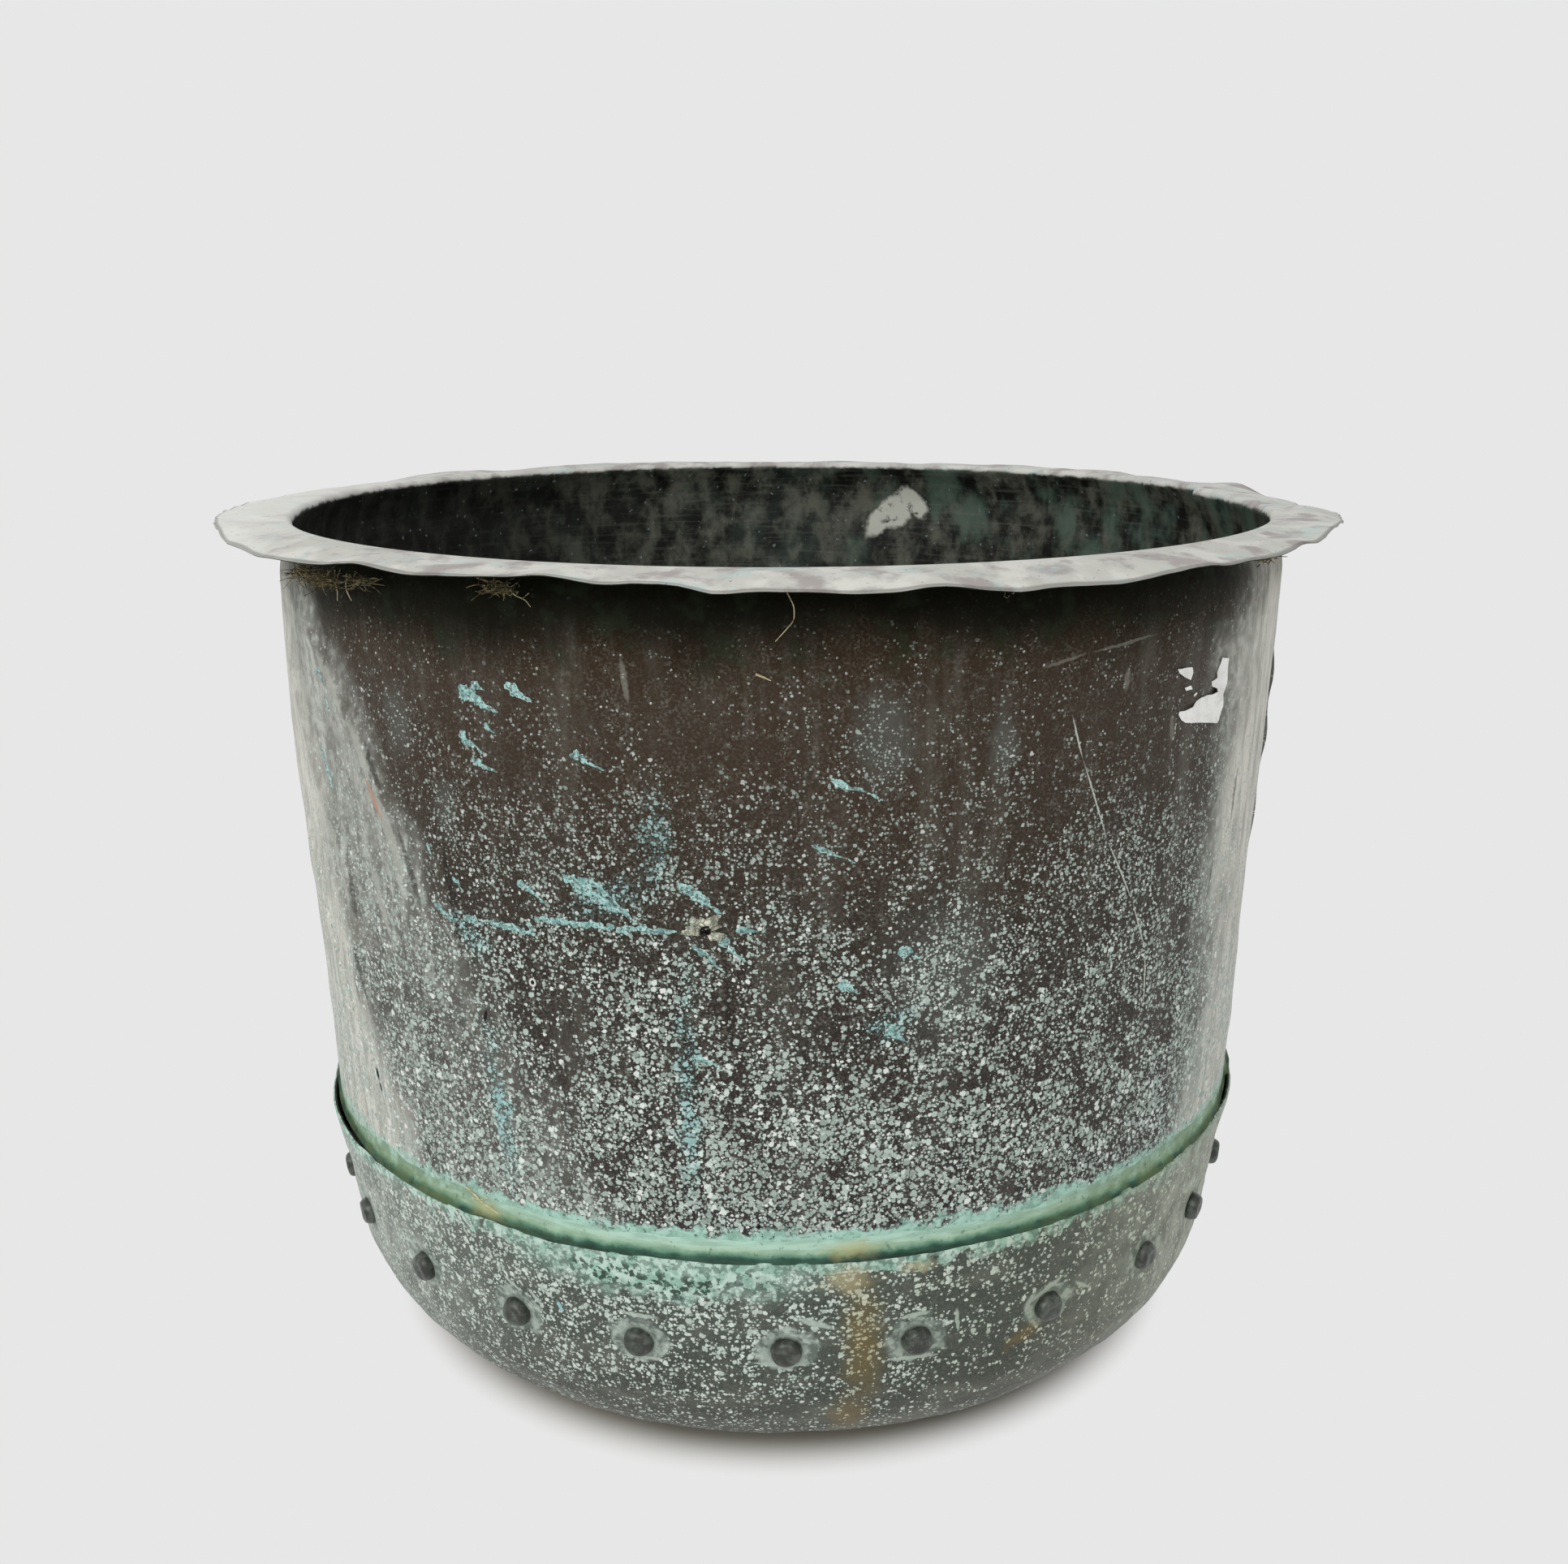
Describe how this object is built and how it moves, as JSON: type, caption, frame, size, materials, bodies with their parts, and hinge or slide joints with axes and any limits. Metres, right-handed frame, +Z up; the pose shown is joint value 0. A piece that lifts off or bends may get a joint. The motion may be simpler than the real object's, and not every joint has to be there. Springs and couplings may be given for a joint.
{
  "type": "laundry copper boiler",
  "caption": "Open wash copper: a tapered riveted drum of sheet copper with a wide hand-beaten rim, on a dished bottom pan, with an aged brown and verdigris skin.",
  "frame": {"origin": "on the copper's axis, at the level that its bottom rests on", "axes": "+Z up, -Y the front that the picture shows, +X to its right, where the drum's lap runs down"},
  "size_m": [0.6387, 0.6392, 0.4858],
  "materials": {
    "drum_copper": "brown copper with pale grey-green speckle and turquoise splashes",
    "pan_copper": "grey-green copper with verdigris under the lip and an ochre stain",
    "rivet_copper": "dark grey-green copper, hammered",
    "verdigris_filler": "old tin solder crusted with verdigris",
    "old_putty": "dry cracked lime putty",
    "paper": "torn plain white paper"
  },
  "bodies": {
    "root": {"side_sheet": "drum_copper", "bottom_pan": "pan_copper", "seam_filler": "verdigris_filler", "putty_patch": "old_putty", "paper_scrap": "paper", "pan_rivet_01": "rivet_copper", "pan_rivet_02": "rivet_copper", "pan_rivet_03": "rivet_copper", "pan_rivet_04": "rivet_copper", "pan_rivet_05": "rivet_copper", "pan_rivet_06": "rivet_copper", "pan_rivet_07": "rivet_copper", "pan_rivet_08": "rivet_copper", "pan_rivet_09": "rivet_copper", "pan_rivet_10": "rivet_copper", "pan_rivet_11": "rivet_copper", "pan_rivet_12": "rivet_copper", "pan_rivet_13": "rivet_copper", "pan_rivet_14": "rivet_copper", "pan_rivet_15": "rivet_copper", "pan_rivet_16": "rivet_copper", "pan_rivet_17": "rivet_copper", "pan_rivet_18": "rivet_copper", "pan_rivet_19": "rivet_copper", "pan_rivet_20": "rivet_copper", "pan_rivet_21": "rivet_copper", "pan_rivet_22": "rivet_copper", "pan_rivet_23": "rivet_copper", "pan_rivet_24": "rivet_copper", "lap_rivet_01": "rivet_copper", "lap_rivet_02": "rivet_copper", "lap_rivet_03": "rivet_copper", "lap_rivet_04": "rivet_copper", "lap_rivet_05": "rivet_copper", "lap_rivet_06": "rivet_copper", "lap_rivet_07": "rivet_copper"}
  },
  "joints": []
}
